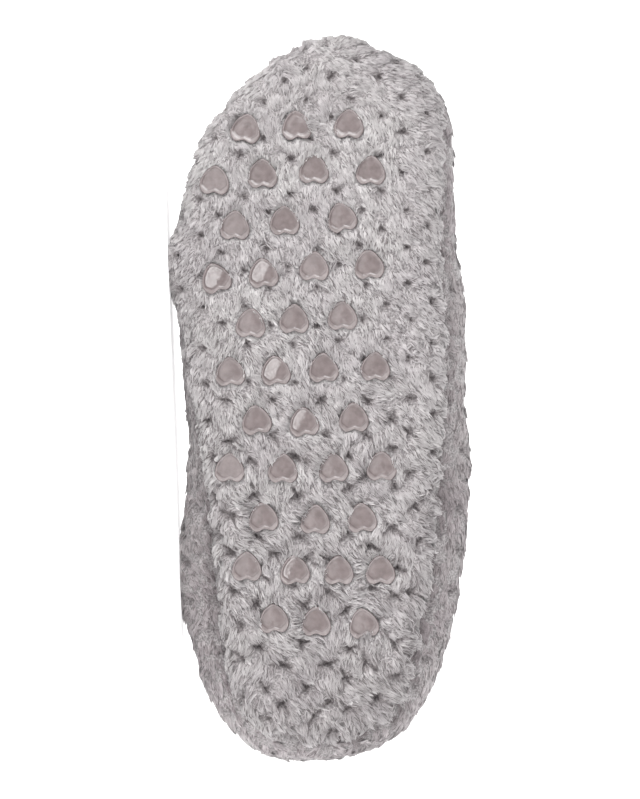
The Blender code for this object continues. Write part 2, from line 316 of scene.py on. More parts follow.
# The thin dark locks among the others, which draw the fine lines of the pile: painted shade of the gaps
# between locks
STREAK_SHARE = 0.12
STREAK_WIDTH = 0.7
# The part of the nap's lean out of the surface that is kept, and its limits
STAND_UP = 0.25
LEAST_LEAN = -0.05
MOST_LEAN = 0.2
# How strongly the pile is pushed from a dimple, and combed out or down at an edge
DIMPLE_PUSH = 1.6
EDGE_NAP = 1.1
EDGE_NAP_ZONE = (22.0, 28.0)
EDGE_RISE = 1.5
WALL_FALL = 1.2
# Length and height of the pile
SOLE_PILE = 3.7
SOLE_LOFT = 1.0
UPPER_PILE = 3.3
UPPER_LOFT = 0.5
PILE_FLOOR_GAP = 0.15
# Where a lock is tested for what blocks it, and how far it is drawn back
TRIM_SHARES = np.linspace(1.0, 0.15, 6)
TRIM_STEP = 0.1
LEAST_LOCK = 0.1
# Where the pile is split into its front and back, and into its outer and inner side
SPLIT_ALONG = 128.0
SPLIT_ACROSS = 2.0

# Tone of the pile: painted shade along the seam, down the wall, at its foot and in the groove of the hem's
# stitches; painted light beside the hearts, against the shade round them; lighter up the wall at the heel
EDGE_SEAM_DARK = 0.2
HEART_SIDE_LIGHT = 0.13
HEART_BED_LIGHT = 0.5
UPPER_TONE = 1.04
WALL_DARK = 0.26
FOOT_DARK = 0.28
HEEL_WALL_LIGHT = 0.17
HEEL_FOOT_DARK = 0.22
STITCH_DARK = 0.4

# The elastic hem: its gathers round the collar and the groove of its stitches
GATHERS = 43
GATHER_HEIGHT = 0.7
GATHER_ZONE = (19.0, 9.0)
STITCH_DEPTH = 1.2
STITCH_WIDTH = 1.1
STITCH_SHADE_WIDTH = 1.3
LINING_SLACK = 0.6

# Grip hearts: steps of a span, growth of the outline for the base, the pile and their tones, and the
# square of the distance from a heart's middle within which points are tested
OUTLINE_STEPS = 8
HEART_STEPS = 7
BED_OUTLINE = 1.03
PILE_OUTLINE = 0.965
# BED_LIGHT_OUTLINE and PILE_LIGHT_OUTLINE: how far from a heart the painted light on the base and the pile
# reaches
BED_LIGHT_OUTLINE = 1.3
PILE_LIGHT_OUTLINE = 1.35
NEAR_HEART = 60.0
HEART_BED = 0.7
# Degrees by which a heart may lie out of level on the soft pile
HEART_TILT = 1.1
# A heart's shape: mean reach of its outline, depth in the pile, dome and height of its face, and lip
HEART_REACH = 4.7
HEART_SINK = 0.45
HEART_DOME = 0.1
HEART_FACE = 0.22
HEART_MIDDLE = -0.3
FACE_TONE = 0.5
FACE_SHARES = (0.85, 0.7, 0.55, 0.4, 0.26, 0.12)
# LIP_PALING: how much paler the lip is towards the heel, a painted highlight
LIP_PALING = 0.09
HEELWARD_ZONE = (-1.5, 3.0)
LIP = (
    # inset, height, tone (dark at the foot: painted shade of the gap to the pile), paleness (a painted
    # highlight) and widening towards the heel
    (0.00, -1.00, 0.3, 0.0, 0.0),
    (0.00, 0.05, 0.3, 0.0, 0.0),
    (0.10, 0.30, 0.36, 0.0, 0.0),
    (0.22, 0.43, 0.52, 0.5, 0.0),
    (0.45, 0.46, 0.57, 1.0, 0.2),
    (0.70, 0.36, 0.5, 1.0, 0.5),
    (0.85, 0.26, 0.3, 0.3, 0.6),
    (1.10, HEART_FACE, 0.5, 0.0, 0.6),
)

# Hearts whose raised part mirrors the front light, with the millimetres by which it passes the middle
GLEAMING_HEARTS = {11: 1.6, 12: 1.2, 19: 0.9, 23: -0.2, 33: -0.6}
FOLD_ROUNDING = 1.3
FOLD_SINK = 0.3
# Hearts that the pile overlaps on one side: millimetres across and along, away from that side
HEART_OVERLAPS = {2: (-1.4, 0.3), 4: (0.8, 0.5), 15: (-1.8, 0.2), 30: (1.2, 0.8), 38: (0.3, 0.9)}
# The clumps beside such a heart that are combed over it, and how far their tips are lifted
OVERLAP_PLACE = 6.5
OVERLAP_RADIUS = 3.6
OVERLAP_OLD_NAP = 0.3
OVERLAP_NAP = 2.5
OVERLAP_LIFT = 1.7

# Colours by tone, in linear light
PILE_STOPS = (
    (0.0, (0.05, 0.041, 0.042)),
    (0.35, (0.23, 0.21, 0.211)),
    (0.72, (0.462, 0.441, 0.441)),
    (1.0, (0.59, 0.572, 0.569)),
)
# The upper's pile is the same plush with a mauve tint of painted shade.
WALL_SHADE_TINT = np.array((1.0, 0.975, 0.985))
SHADE_TINTED_WALL_STOPS = tuple((place, tuple(colour * WALL_SHADE_TINT)) for place, colour in PILE_STOPS)
SILICONE_STOPS = (
    (0.0, (0.07, 0.055, 0.055)),
    (0.5, (0.182, 0.15, 0.149)),
    (1.0, (0.4, 0.365, 0.36)),
)
WHITE = (1.0, 1.0, 1.0)

# Studio, in metres and watts
CAMERA_DISTANCE = 1.6
FRONT_LIGHT = np.array((0.3, -1.45, 0.5))
AIM = (0.0, 0.0, 0.05)
LIGHTS = (
    # name, place, aim, size, power
    ("key", (-1.05, -1.2, 0.3), AIM, 0.9, 14.5),
    ("fill", (1.1, -1.1, 0.45), AIM, 0.9, 8.5),
    ("front", FRONT_LIGHT, AIM, 0.36, 2.6),
    ("rear", (0.5, 1.0, 1.2), AIM, 1.0, 9.0),
    ("top", (0.1, 0.5, 1.5), AIM, 1.2, 14.0),
    ("floor_light", (0.0, -0.3, 1.8), (0.0, 0.1, 0.0), 3.0, 60.0),
    ("backdrop_light", (0.0, 1.2, 1.6), (0.0, 3.2, 0.5), 2.5, 90.0),
)
WORLD_STRENGTH = 0.5


def smoothstep(value):
    value = np.clip(value, 0.0, 1.0)
    return value * value * (3.0 - 2.0 * value)


def rising(value, start, run):
    return smoothstep((value - start) / run)


def falling(value, start, run):
    return smoothstep((start - value) / run)


def bell(distance, width):
    return np.exp(-((distance / width) ** 2))


def graded(pair, share):
    return pair[0] + pair[1] * share


def part_way(start, end, share):
    return start + (end - start) * share


def unit(vectors):
    return vectors / np.maximum(np.linalg.norm(vectors, axis=-1, keepdims=True), 1e-9)


def waves(points, rows):
    """Smooth noise about 0: for each row, sines near its wavelength in millimetres."""
    total = 0.0
    for size, wavelength, seed in rows:
        rng = np.random.default_rng(seed)
        ways = unit(rng.normal(size=(SINES, 3))) * rng.uniform(0.7, 1.4, (SINES, 1))
        starts = rng.uniform(0.0, 2.0 * math.pi, SINES)
        sines = np.sin(points @ (ways * 2.0 * math.pi / wavelength).T + starts)
        total = total + size * (sines.sum(axis=-1) / math.sqrt(SINES))
    return total


def closed_spline(rows, steps):
    """Points of a closed Catmull-Rom curve through the rows, with the given steps between rows."""
    before, after = np.roll(rows, 1, axis=0), np.roll(rows, -1, axis=0)
    beyond = np.roll(rows, -2, axis=0)
    pieces = []
    for t in np.arange(steps) / steps:
        line = (after - before) * t
        square = (2.0 * before - 5.0 * rows + 4.0 * after - beyond) * t**2
        cube = (3.0 * rows - before - 3.0 * after + beyond) * t**3
        pieces.append(0.5 * (2.0 * rows + line + square + cube))
    return np.stack(pieces, axis=1).reshape(-1, rows.shape[1])


def evenly_spaced(curve, count):
    lengths = np.linalg.norm(np.diff(curve[:, :2], axis=0), axis=1)
    travel = np.concatenate([[0.0], np.cumsum(lengths)])
    at = np.arange(count) / count * travel[-1]
    return np.stack([np.interp(at, travel, column) for column in curve.T], axis=1)


def sole_ring(count):
    """Sole edge, outward direction and stand-out at each section, from the heel by the outer side."""
    rows = np.array(OUTER_SIDE + INNER_SIDE)
    rows[:, 0] *= LENGTH / 100.0
    rows[:, 1] *= BALL_WIDTH / 100.0
    curve = closed_spline(rows, SPLINE_STEPS)
    curve = np.concatenate([curve, curve[:1]])
    toe = len(OUTER_SIDE) * SPLINE_STEPS
    outer = evenly_spaced(curve[: toe + 1], count // 2)
    inner = evenly_spaced(curve[toe:], count // 2)
    ring = np.concatenate([outer, inner])
    tangent = np.roll(ring[:, :2], -1, axis=0) - np.roll(ring[:, :2], 1, axis=0)
    outward = unit(np.stack([tangent[:, 1], -tangent[:, 0]], axis=1))
    return ring[:, :2], outward, ring[:, 2]


def lift(along):
    toe = np.clip((along - SPRING_START) / (LENGTH - SPRING_START), 0.0, None)
    heel = np.clip((RISE_END - along) / RISE_END, 0.0, None)
    return TOE_SPRING * toe**2 + HEEL_RISE * heel**2


def roll(inset):
    reach = np.clip(1.0 - inset / ROLL_IN, 0.0, 1.0)
    return ROLL_UP * (1.0 - np.sqrt(1.0 - reach**2))


def pressed(points, plane=-FLOOR_REACH):
    """The points, with what would pass the floor pressed flat on it."""
    points[..., 1] = np.maximum(points[..., 1], plane)
    return points


def at_height(plan, height):
    return np.concatenate([plan, np.broadcast_to(height, len(plan))[:, None]], axis=1)


def grid_normals(grid):
    """Outward normals of a surface that is an array of loop by section."""
    round_way = np.roll(grid, -1, axis=1) - np.roll(grid, 1, axis=1)
    loop_way = np.gradient(grid, axis=0)
    return unit(np.cross(round_way, loop_way))


def collar_ring(plan, inner_side):
    toe_share = (plan[:, 0] - plan[:, 0].min()) / np.ptp(plan[:, 0])
    share = 1.0 - (1.0 - toe_share) ** FAN
    turn = np.arccos(np.clip(1.0 - 2.0 * share, -1.0, 1.0))
    side = np.where(inner_side, 1.0, -1.0)
    axis = part_way(COLLAR_AXIS_BACK, COLLAR_AXIS_THROAT, share)
    along = part_way(COLLAR_BACK, THROAT, share)
    across = axis + side * COLLAR_HALF_WIDTH * np.sin(turn)
    height = SIDE_HEIGHT + (HEEL_HEIGHT - SIDE_HEIGHT) * (1.0 - share) ** 2
    height += (INSTEP_HEIGHT - SIDE_HEIGHT) * share**2
    arch_end = part_way(ARCH_END_BACK, ARCH_END_THROAT, share)
    return np.stack([along, across], axis=1), height, arch_end


def upper_outside(plan, outward, stand_out):
    """The upper's outer surface, an array of loop by section from the seam to the collar."""
    inner_side = np.arange(len(plan)) > len(plan) // 2
    collar, collar_height, arch_end = collar_ring(plan, inner_side)
    belly_share = np.clip(plan[:, 0] / LENGTH, 0.0, 1.0)
    belly = part_way(BELLY_HEEL, BELLY_TOE, belly_share)
    seam = lift(plan[:, 0]) + SOLE_THICK + GAP
    belly = np.maximum(belly, seam + LEAST_BELLY)
    loops = []
    for t in np.arange(LOWER_STEPS) / LOWER_STEPS:
        swell = stand_out * math.sin(t * math.pi / 2)
        loops.append(at_height(plan + outward * swell[:, None], part_way(seam, belly, t)))
    widest = plan + outward * stand_out[:, None]
    for t in np.linspace(0.0, 1.0, ARCH_STEPS):
        inward = (1.0 - np.cos(arch_end * t)) / (1.0 - np.cos(arch_end))
        rise = np.sin(arch_end * t) / np.sin(arch_end)
        spot = part_way(widest, collar, inward[:, None])
        loops.append(at_height(spot, part_way(belly, collar_height, rise)))
    return pressed(np.stack(loops))


def nearest(points, centres):
    """Index of the centre that is nearest to each point."""
    flat = points.reshape(-1, 3)
    lengths = np.sum(centres**2, axis=1)
    pick = np.empty(len(flat), int)
    for start in range(0, len(flat), BATCH):
        part = flat[start : start + BATCH]
        pick[start : start + BATCH] = (lengths - 2.0 * part @ centres.T).argmin(axis=1)
    return pick.reshape(points.shape[:-1])


def sole_dimples():
    """The lattice of dimples in the sole's flat pattern, a little out of true as on knitted plush."""
    rng = np.random.default_rng(LATTICE_SEED)
    along, across = np.arange(*LATTICE_ALONG), np.arange(*LATTICE_ACROSS)
    grid = np.array([(i, j) for i in along for j in across if (i + j) % 2 == 0], float)
    spots = LATTICE_START + grid * (HALF_STEP_ALONG, HALF_STEP_ACROSS)
    loose = LATTICE_JITTER * (1.0 + HEEL_LOOSENESS * falling(spots[:, :1], *LOOSE_ZONE))
    return spots + loose * rng.normal(size=spots.shape)


def loose_dimples(grid):
    """Spots all over the upper, the first ones a full spacing apart and the last ones a little less."""
    rng = np.random.default_rng(UPPER_DIMPLE_SEED)
    order = rng.permutation(grid.reshape(-1, 3))[:SPOTS_TRIED]
    kept = np.empty((0, 3))
    for share in SPACING_SHARES:
        least = (UPPER_DIMPLE_SPACING * share) ** 2
        for point in order:
            if not len(kept) or np.min(np.sum((kept - point) ** 2, axis=1)) > least:
                kept = np.concatenate([kept, point[None]])
    return kept


def tuft(flat):
    """0 on the creases between neighbouring dimples and 1 in the middle of each tuft."""
    along, across = np.moveaxis((flat - LATTICE_START) / (HALF_STEP_ALONG, HALF_STEP_ACROSS), -1, 0)
    one_way = np.abs(np.sin(math.pi / 2 * (along + across)))
    other_way = np.abs(np.sin(math.pi / 2 * (along - across)))
    return np.minimum(one_way, other_way) ** TUFT_ROUNDNESS


def fullness(along):
    """How far the plush has puffed into round tufts: little at the toe, fully at the heel."""
    return graded(FULLNESS, falling(along, *PUFF_ZONE))


def base_inset(along):
    """How far inside the solid the pile's base lies; at the toe and heel it stands a little proud."""
    toe = TOE_PROUD * rising(along, *PROUD_TOE_ZONE)
    heel = HEEL_PROUD * falling(along, *PROUD_HEEL_ZONE)
    return BASE_INSET - toe - heel


class Plush:
    """A plush surface: its base as a grid of loop by section, its pattern and its dimples."""

    def __init__(self, grid, flat, dimples, inset, level, depth, dark):
        self.flat = flat
        self.dark = dark
        self.dimples = dimples
        smooth = grid_normals(grid)
        self.facing = smooth.reshape(-1, 3)[nearest(dimples, grid.reshape(-1, 3))]
        self.part_from_dimples()
        distance = np.linalg.norm(self.from_dimple(grid)[0], axis=-1)
        puff = fullness(grid[..., 0])
        dent = depth * graded(DENT, puff) * bell(distance, graded(DIMPLE_RADIUS, puff))
        crown = TUFT_HEIGHT * puff * (self.crown(flat, distance) - TUFT_SINK)
        relief = np.where(level, -HEART_BED, crown + waves(grid, SWELLS) - dent)
        self.grid = pressed(grid + smooth * (relief - inset)[..., None])
        self.slope = unit(0.4 * smooth + 0.6 * grid_normals(self.grid))

    def part_from_dimples(self):
        """Draws the ways in which the pile parts from each dimple, and how far."""
        rng = np.random.default_rng(PARTING_SEED)
        diagonal = math.atan2(HALF_STEP_ACROSS, HALF_STEP_ALONG)
        turns = np.array((diagonal, -diagonal, math.pi - diagonal, math.pi + diagonal))
        each = (len(self.dimples), len(turns))
        turns = turns + rng.normal(0.0, PARTING_SWING, each)
        ahead = unit(AHEAD - self.facing * (self.facing @ AHEAD)[:, None])[:, None]
        aside = np.cross(self.facing, ahead[:, 0])[:, None]
        self.partings = np.cos(turns)[..., None] * ahead + np.sin(turns)[..., None] * aside
        puff = (fullness(self.dimples[:, 0]) - FULLNESS[0]) / FULLNESS[1]
        longest = graded(PARTING_LENGTH, smoothstep(puff))
        self.parting_lengths = rng.uniform(*PARTING_SHARES, each) * longest[:, None]

    def from_dimple(self, points):
        """Way from the nearest dimple along the surface, and which dimple it is."""
        pick = nearest(points, self.dimples)
        apart = points - self.dimples[pick]
        out = self.facing[pick]
        return apart - out * np.sum(apart * out, axis=-1)[..., None], pick

    def parted(self, points, apart, pick):
        """1 in the middle of a parting and 0 outside the partings."""
        wobble = waves(points, PARTING_WOBBLES)
        most = np.zeros(pick.shape)
        for i in range(self.partings.shape[1]):
            way = self.partings[pick, i]
            length = self.parting_lengths[pick, i]
            run = np.sum(apart * way, axis=-1)
            off = np.linalg.norm(apart - way * run[..., None], axis=-1) + wobble * (run > 0.8)
            wide = graded(PARTING_WIDTH, np.clip(1.0 - run / length, 0.0, 1.0))
            inside = falling(run, length, 0.35 * length) * (run > -0.2)
            most = np.maximum(most, inside * bell(off, wide))
        return most

    def crown(self, flat, distance):
        """0 in the creases and 1 in the middle of each tuft."""
        if flat.shape[-1] == 2:
            return tuft(flat)
        return smoothstep(distance / TUFT_RADIUS)

    def shade(self, points, flat):
        """Painted shade of the plush: darkest in a dimple, darker in the creases where it is puffed, and
        along the partings.
        """
        apart, pick = self.from_dimple(points)
        distance = np.linalg.norm(apart, axis=-1)
        puff = fullness(points[..., 0])
        hole = graded(HOLE_DARK, puff) * bell(distance, HOLE_RADIUS)
        crease = (1.0 - self.crown(flat, distance)) ** 2
        some = smoothstep(graded(PATCHINESS, waves(points, CREASE_PATCHES)))
        soft = 1.0 - graded(CREASE_DARK, puff) * self.dark * some * crease
        return (1.0 - self.dark * hole) * soft * (1.0 - self.dark * self.parted(points, apart, pick))

    def in_dimple(self, points):
        """Which points the pile leaves bare: the bottom of a dimple and the partings from it."""
        apart, pick = self.from_dimple(points)
        ragged = graded(BARE_RADIUS, waves(points, RAGGED_EDGES))
        in_hole = np.linalg.norm(apart, axis=-1) < ragged
        return in_hole | (self.parted(points, apart, pick) > BARE_PARTING)


def on_surface(spots, flat, grid):
    """Points of the surface at spots of its flat pattern, for the spots that the pattern holds."""
    pattern, points = flat.reshape(-1, 2), grid.reshape(-1, 3)
    found = []
    for spot in spots:
        apart = np.sum((pattern - spot) ** 2, axis=1)
        pick = apart.argmin()
        if apart[pick] < SPOT_REACH**2:
            found.append(points[pick])
    return np.array(found)


def sole_plush():
    plan, outward, _ = sole_ring(ROUND)
    spine_across = np.interp(plan[:, 0], *SPINE_BEND)
    spine = np.stack([np.clip(plan[:, 0], *SOLE_SPINE), spine_across], axis=1)
    inner = plan - outward * ROLL_IN
    loops, flat = [], []
    for share in np.linspace(FIRST_LOOP, 1.0, FLAT_STEPS)[:-1]:
        spot = part_way(spine, inner, share)
        loops.append(at_height(spot, lift(spot[:, 0])))
        flat.append(spot)
    reach = 0.0
    last = (ROLL_IN, 0.0)
    turns = np.radians(np.linspace(90.0, 0.0, ROLL_STEPS))
    edge = [(ROLL_IN * (1.0 - math.cos(turn)), ROLL_UP * (1.0 - math.sin(turn))) for turn in turns]
    top = SOLE_THICK - SIDE_SINK
    edge += [(SIDE_LEAN * i, ROLL_UP + (top - ROLL_UP) * i / SIDE_STEPS) for i in range(1, SIDE_STEPS + 1)]
    for inset, height in edge:
        reach += math.hypot(inset - last[0], height - last[1])
        last = (inset, height)
        spot = plan - outward * inset
        loops.append(at_height(spot, lift(spot[:, 0]) + height))
        flat.append(inner + outward * reach)
    grid, flat = pressed(np.stack(loops)), np.stack(flat)
    dimples = on_surface(sole_dimples(), flat, grid)
    level = on_hearts(grid.reshape(-1, 3), BED_OUTLINE)
    level = level.reshape(grid.shape[:2])
    return Plush(grid, flat, dimples, base_inset(grid[..., 0]), level, **SOLE_DIMPLE)


def to_row(points):
    """Points of the slipper's own frame, in millimetres, in the row's frame, in metres."""
    return turned_to_row(points) * MM + ORIGIN


def turned_to_row(directions):
    return np.stack([-directions[..., 0], directions[..., 2], directions[..., 1]], axis=-1)


def row_origin():
    """Where the slipper's own origin is, read from the solid of a straight heart on the flat tread."""
    low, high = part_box("grip_heart_24")
    middle = np.array((low + high) / 2)
    _, along, across, along_step, across_step = HEART_LINES[6]
    inwards, toewards, _ = HEART_NUDGES[23]
    along += 2 * along_step + toewards
    across += 2 * across_step + inwards
    return middle - np.array([-along, -(GAP + HEART_THICK / 2), across]) * MM


def add_object(name, data):
    obj = bpy.data.objects.new(name, data)
    bpy.context.scene.collection.objects.link(obj)
    return obj


def new_mesh(name, points, faces):
    """A mesh object from points of the slipper's own frame and an array of triangles or quads."""
    mesh = bpy.data.meshes.new(name)
    mesh.vertices.add(len(points))
    mesh.vertices.foreach_set("co", to_row(points).astype(np.float32).ravel())
    corners = np.concatenate([np.asarray(part, np.int32).ravel() for part in faces])
    sizes = np.concatenate([np.full(len(part), np.shape(part)[1]) for part in faces])
    mesh.loops.add(len(corners))
    mesh.loops.foreach_set("vertex_index", corners)
    mesh.polygons.add(len(sizes))
    starts = np.concatenate([[0], np.cumsum(sizes)[:-1]]).astype(np.int32)
    mesh.polygons.foreach_set("loop_start", starts)
    mesh.update(calc_edges=True)
    mesh.validate()
    mesh.shade_smooth()
    return add_object(name, mesh)


def grid_faces(loops, sections, closed=False):
    rows = np.arange(loops if closed else loops - 1)[:, None]
    low, high = rows * sections, (rows + 1) % loops * sections
    columns = np.arange(sections)[None, :]
    after = (columns + 1) % sections
    quads = np.stack([low + columns, low + after, high + after, high + columns], axis=-1)
    return quads.reshape(-1, 4)


def closed_faces(loops, sections):
    """Faces of a stack of loops, with strips across its first and its last loop."""
    half = sections // 2
    i = np.arange(1, half - 1)
    strips = np.stack([i, i + 1, sections - i - 1, sections - i], axis=1)
    ends = np.array([(0, 1, sections - 1), (half - 1, half, half + 1)])
    last = (loops - 1) * sections
    return [grid_faces(loops, sections), strips[:, ::-1], strips + last, ends[:, ::-1], ends + last]


def add_tone(obj, tone, domain="POINT"):
    attribute = obj.data.attributes.new("tone", "FLOAT", domain)
    attribute.data.foreach_set("value", np.asarray(tone, np.float32).ravel())


def face_corners(field):
    """The values of a field of loop by section at the four corners of each face."""
    after = np.roll(field, -1, axis=1)
    return field[:-1], after[:-1], after[1:], field[1:]


def scatter(plush, count, rng):
    """Places spread evenly by area over a plush surface: points, normals and flat coordinates."""
    near, after, opposite, above = face_corners(plush.grid)
    area = np.linalg.norm(np.cross(opposite - near, above - after), axis=2).ravel()
    pick = np.sort(rng.choice(len(area), count, p=area / area.sum()))
    u, v = rng.random((2, count, 1))
    weights = ((1 - u) * (1 - v), u * (1 - v), u * v, (1 - u) * v)

    def blend(field):
        parts = [part.reshape(-1, field.shape[-1])[pick] for part in face_corners(field)]
        return sum(weight * part for weight, part in zip(weights, parts))

    return blend(plush.grid), unit(blend(plush.slope)), blend(plush.flat)


def in_polygon(points, polygon):
    x, y = points[:, :1], points[:, 1:]
    start, end = polygon, np.roll(polygon, -1, axis=0)
    crosses = (start[:, 1] > y) != (end[:, 1] > y)
    slope = (end[:, 0] - start[:, 0]) / np.where(end[:, 1] == start[:, 1], 1e-9, end[:, 1] - start[:, 1])
    left = x < start[:, 0] + slope * (y - start[:, 1])
    return (np.sum(crosses & left, axis=1) % 2).astype(bool)


def bezier(start, handle_start, handle_end, end, count):
    t = (np.arange(count) / count)[:, None]
    return (
        start * (1 - t) ** 3
        + 3 * handle_start * t * (1 - t) ** 2
        + 3 * handle_end * t**2 * (1 - t)
        + end * t**3
    )


def heart_outline(count):
    """A heart's outline in millimetres, from its point towards the toe, with count steps a span."""
    size = np.array([HEART_WIDTH, HEART_LENGTH])
    right = [(np.array(row[:2]) * size, np.array(row[2:]) * size) for row in HEART_HALF]
    left = [(spot * (-1, 1), -way * (-1, 1)) for spot, way in right[-2:0:-1]]
    knots = right + left
    spans = []
    for (spot, way), (after, after_way) in zip(knots, knots[1:] + knots[:1]):
        spans.append(bezier(spot, spot + way, after - after_way, after, count))
    return np.concatenate(spans)


def tread_frame(plan, along, across):
    """A heart's place under the tread: its own Y towards the toe and its own Z out of the tread."""

    def under(a, b):
        inset = np.min(np.linalg.norm(plan - (a, b), axis=1))
        return np.array((a, b, float(lift(a) + roll(inset))))

    spot = under(along, across)
    toeward = unit(under(along + 1.0, across) - under(along - 1.0, across))
    inward = unit(under(along, across + 1.0) - under(along, across - 1.0))
    out = unit(np.cross(inward, toeward))
    inward = np.cross(toeward, out)
    return spot + out * (GAP + HEART_THICK / 2), np.stack([inward, toeward, out])


def heart_frames():
    plan, _, _ = sole_ring(ROUND)
    frames = []
    for count, along, across, along_step, across_step in HEART_LINES:
        for i in range(count):
            inwards, toewards, turn = HEART_NUDGES[len(frames)]
            spot = (along + i * along_step + toewards, across + i * across_step + inwards)
            spot, (inward, toeward, out) = tread_frame(plan, *spot)
            cos, sin = math.cos(math.radians(turn)), math.sin(math.radians(turn))
            axes = np.stack([inward * cos - toeward * sin, inward * sin + toeward * cos, out])
            frames.append((spot, axes))
    return frames


def on_hearts(points, growth=1.0, overlaps=None):
    """Which points are over or under a heart, apart from the side that the pile overlaps."""
    hit = np.zeros(len(points), bool)
    for number, (spot, axes) in enumerate(HEARTS, 1):
        near = np.flatnonzero(np.sum((points - spot) ** 2, axis=1) < NEAR_HEART)
        local = (points[near] - spot) @ axes.T
        shift = (overlaps or {}).get(number, (0.0, 0.0))
        hit[near] |= in_polygon(local[:, :2] - shift, HEART_OUTLINE * growth)
    return hit


def trimmed(roots, tips, blocked):
    """Tips drawn back to where a lock is clear all along, the share left and which locks can stay."""
    reach = np.ones(len(roots))
    for share in TRIM_SHARES:
        hit = blocked(part_way(roots, tips, share))
        reach = np.where(hit, share - TRIM_STEP, reach)
    stays = (reach > LEAST_LOCK) & ~blocked(roots)
    return part_way(roots, tips, reach[:, None]), reach, stays


def sole_nap(points, flat):
    """The way the sole's pile lies: back and inwards, swirling more towards the heel."""
    swirl = graded(SWIRL, fullness(points[:, 0])) * waves(points, SOLE_SWIRLS)
    swirl = swirl + waves(points, FINE_SWIRLS)
    turn = np.radians(graded(NAP_TURN, rising(points[:, 0], *NAP_ZONE))) + swirl
    nap = np.stack([np.cos(turn), np.sin(turn), np.zeros(len(turn))], axis=1)
    edge = flat - np.stack([np.clip(flat[:, 0], *NAP_SPINE), np.zeros(len(flat))], axis=1)
    reach = np.linalg.norm(edge, axis=1)
    outward = np.concatenate([unit(edge), np.zeros((len(edge), 1))], axis=1)
    return nap + outward * (EDGE_NAP * rising(reach, *EDGE_NAP_ZONE))[:, None]


def upper_nap(points):
    """The way the upper's pile lies: back towards the heel and a little down the wall."""
    swirl = waves(points, UPPER_SWIRLS)
    return np.stack([-np.cos(swirl), np.sin(swirl), -0.15 - 0.2 * np.sin(2.0 * swirl)], axis=1)


def grow_pile(plush, places, nap, cast, blocked, lying, rng, length, loft):
    """Clumps of locks: the corners L, R, M and T of each lock, with their tones and normals."""
    centres, normals, flat = places
    count = len(centres)
    apart, _ = plush.from_dimple(centres)
    distance, away = np.linalg.norm(apart, axis=1), unit(apart)
    puff = fullness(centres[:, 0])
    way = unit(nap) + away * (DIMPLE_PUSH * bell(distance, graded(PUSH_WIDTH, puff)))[:, None]
    lean = np.sum(way * normals, axis=1)[:, None]
    way = unit(way - normals * lean)
    side = np.cross(way, normals)
    way = unit(way + normals * np.clip(STAND_UP * lean, LEAST_LEAN, MOST_LEAN * loft))
    reach = length * rng.uniform(*CLUMP_LENGTHS, count) * graded(CLUMP_REACH, puff)
    rise = loft * (rng.uniform(*CLUMP_HEIGHTS, count) + 0.2 * puff)
    cast = cast * rng.normal(1.0, CLUMP_MOTTLE, count)
    streak_tone = graded(STREAK_TONE, rising(centres[:, 0], *FAINT_ZONE))
    lean = [normals - 0.5 * side, normals + 0.5 * side, normals, normals + 0.3 * way]
    lean = unit(np.stack(lean, axis=1))

    def tone_at(spots):
        return plush.shade(spots, flat + (spots - centres)[:, : flat.shape[1]])

    corners, tones, facing = [], [], []
    for _ in range(LOCKS_IN_CLUMP):
        angle = rng.uniform(0.0, 2.0 * math.pi, count)
        out = CLUMP_RADIUS * np.sqrt(rng.random(count))
        offset = way * (out * np.cos(angle))[:, None] + side * (out * np.sin(angle))[:, None]
        root = centres + offset
        sway = rng.normal(0.0, LOCK_SWAY, (2, count, 1))
        share = rng.uniform(*LOCK_LENGTHS, count)
        width = rng.uniform(*LOCK_HALF_WIDTHS, (count, 1))
        low_lock = rng.random(count) ** 2.2
        streak = rng.random(count) < STREAK_SHARE
        width = np.where(streak[:, None], STREAK_WIDTH * width, width)
        tip = centres + way * (reach * share)[:, None] + offset * 0.45 + side * sway[0]
        tip, left, stays = trimmed(root, tip, blocked)
        stays &= ~lying(root)
        # painted shade: the lower locks darker, as if in the shade of the others
        dark = graded(LOW_LOCK_DARK, puff) * low_lock
        light = cast * (1.0 - dark) * rng.normal(1.0, LOCK_MOTTLE, count)
        # the streak locks: dark, painted shade of the gaps between the locks
        light = np.where(streak, streak_tone * cast, light)
        # painted shade towards the root: dark roots, a darker middle, and the plush's painted shade at
        # every corner
        root_tone = graded(ROOT_TONE, puff) * light * tone_at(root)
        tone = [root_tone, root_tone, 0.88 * light * tone_at((root + tip) / 2), light * tone_at(tip)]
        height = rise * np.where(streak, 1.0, 1.0 - 0.6 * low_lock) * (0.3 + 0.7 * left)
        height = (height + OVERLAP_LIFT * lying(tip))[:, None]
        tip = tip + normals * height * rng.uniform(*TIP_HEIGHTS, (count, 1))
        middle = root * 0.5 + tip * 0.5 + side * (0.4 * sway[1])
        middle = middle + normals * height * 0.5
        low = root - normals * LOCK_SINK
        lock = np.stack([low - side * width, low + side * width, middle, tip], axis=1)
        corners.append(lock[stays])
        tones.append(np.stack(tone, axis=1)[stays])
        facing.append(lean[stays])
    return np.concatenate(corners), np.concatenate(tones), np.concatenate(facing)


